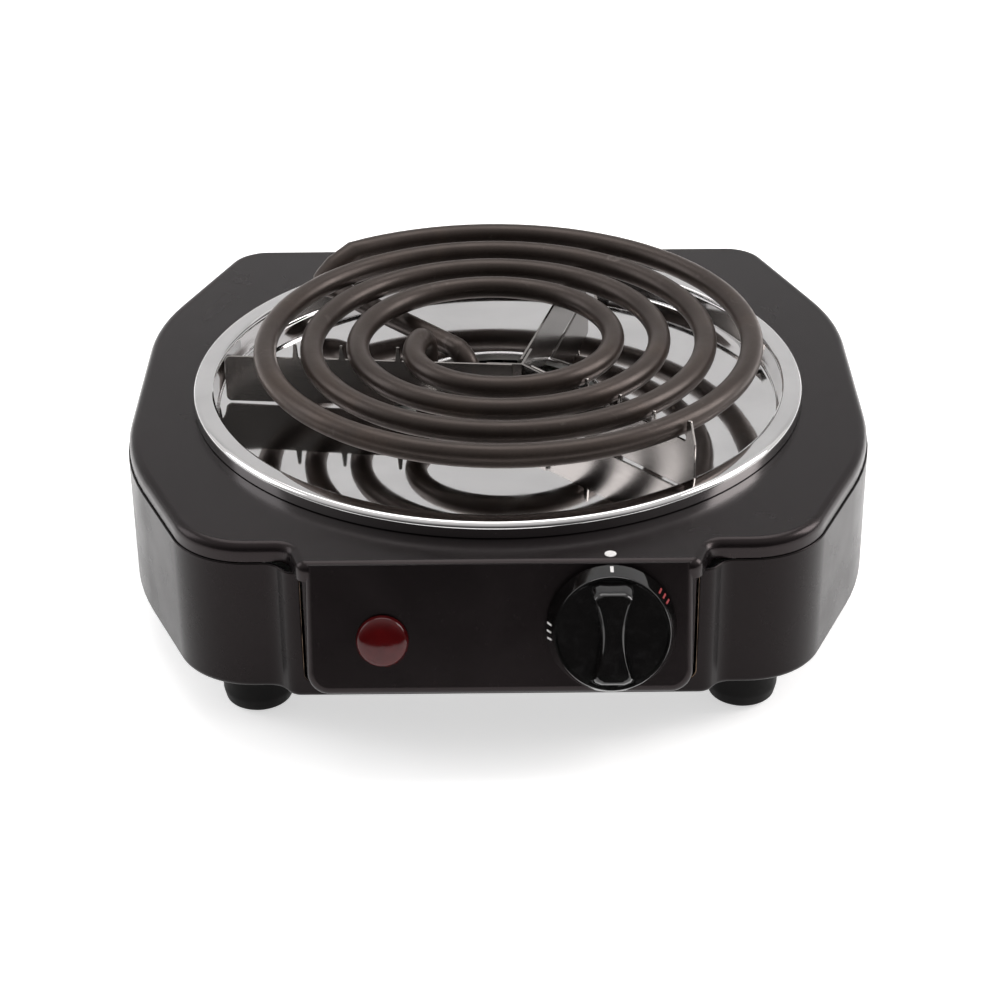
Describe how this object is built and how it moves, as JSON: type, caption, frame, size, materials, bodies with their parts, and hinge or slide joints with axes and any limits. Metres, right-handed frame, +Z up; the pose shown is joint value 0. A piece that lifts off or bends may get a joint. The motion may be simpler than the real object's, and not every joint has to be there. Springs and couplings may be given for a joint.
{
  "type": "hot plate burner",
  "caption": "Portable electric hot plate: black steel body, spiral coil element over a chrome drip pan, heat knob and red pilot lamp on a leaning front panel.",
  "frame": {"origin": "middle of the base of the whole object's box, on the surface that it stands on", "axes": "+Z up, -Y towards the user on the control panel's side, +X to the right as seen from the front"},
  "size_m": [0.2268, 0.2434, 0.0812],
  "materials": {
    "cover_paint": "satin black heat-proof paint",
    "shell_paint": "semi-gloss black paint",
    "chrome": "polished",
    "support_steel": "plated, slightly dull",
    "coil_sheath": "dark oxidised sheath",
    "zinc_steel": "zinc plated",
    "rubber": "matte",
    "ceramic": "unglazed",
    "brass": "plain",
    "knob_plastic": "glossy black",
    "phenolic": "brown moulding",
    "lens_red": "translucent red",
    "lamp_glass": "clear",
    "wire_blue": "insulation",
    "wire_brown": "insulation",
    "wire_white": "sleeved insulation"
  },
  "bodies": {
    "burner_body": {"top_cover": "cover_paint", "base_shell": "shell_paint", "bottom_plate": "zinc_steel", "trim_ring": "chrome", "drip_pan": "chrome", "heating_coil": "coil_sheath", "support_blade_left": "support_steel", "support_blade_front": "support_steel", "support_blade_rear": "support_steel", "support_hub": "support_steel", "element_bracket": "zinc_steel", "bracket_screw_left": "zinc_steel", "bracket_screw_right": "zinc_steel", "coil_seal_inner": "ceramic", "coil_seal_outer": "ceramic", "coil_terminal_inner": "brass", "coil_terminal_outer": "brass", "thermostat_body": "phenolic", "thermostat_strap": "zinc_steel", "thermostat_screw_left": "zinc_steel", "thermostat_screw_right": "zinc_steel", "thermostat_tab_left": "brass", "thermostat_tab_right": "brass", "indicator_lens": "lens_red", "lens_retainer": "zinc_steel", "indicator_lamp": "lamp_glass", "cord_gland": "rubber", "mains_block": "ceramic", "earth_screw": "zinc_steel", "wire_live": "wire_brown", "wire_load": "wire_brown", "wire_neutral": "wire_blue", "wire_lamp_live": "wire_white", "wire_lamp_neutral": "wire_white", "foot_front_left": "rubber", "foot_front_right": "rubber", "foot_rear_left": "rubber", "foot_rear_right": "rubber", "foot_screw_front_left": "zinc_steel", "foot_screw_front_right": "zinc_steel", "foot_screw_rear_left": "zinc_steel", "foot_screw_rear_right": "zinc_steel", "tie_post_front_left": "zinc_steel", "tie_post_front_right": "zinc_steel", "tie_post_rear_left": "zinc_steel", "tie_post_rear_right": "zinc_steel", "plate_screw_front_left": "zinc_steel", "plate_screw_front_right": "zinc_steel", "plate_screw_rear_left": "zinc_steel", "plate_screw_rear_right": "zinc_steel"},
    "knob": {"control_knob": "knob_plastic", "thermostat_shaft": "zinc_steel"}
  },
  "joints": [
    {"name": "knob_turn", "type": "hinge", "parent": "burner_body", "child": "knob", "pos_m": [0.031, -0.1038, 0.04416], "axis": [0, 0.9511, -0.309], "range_deg": [0, 300]}
  ]
}
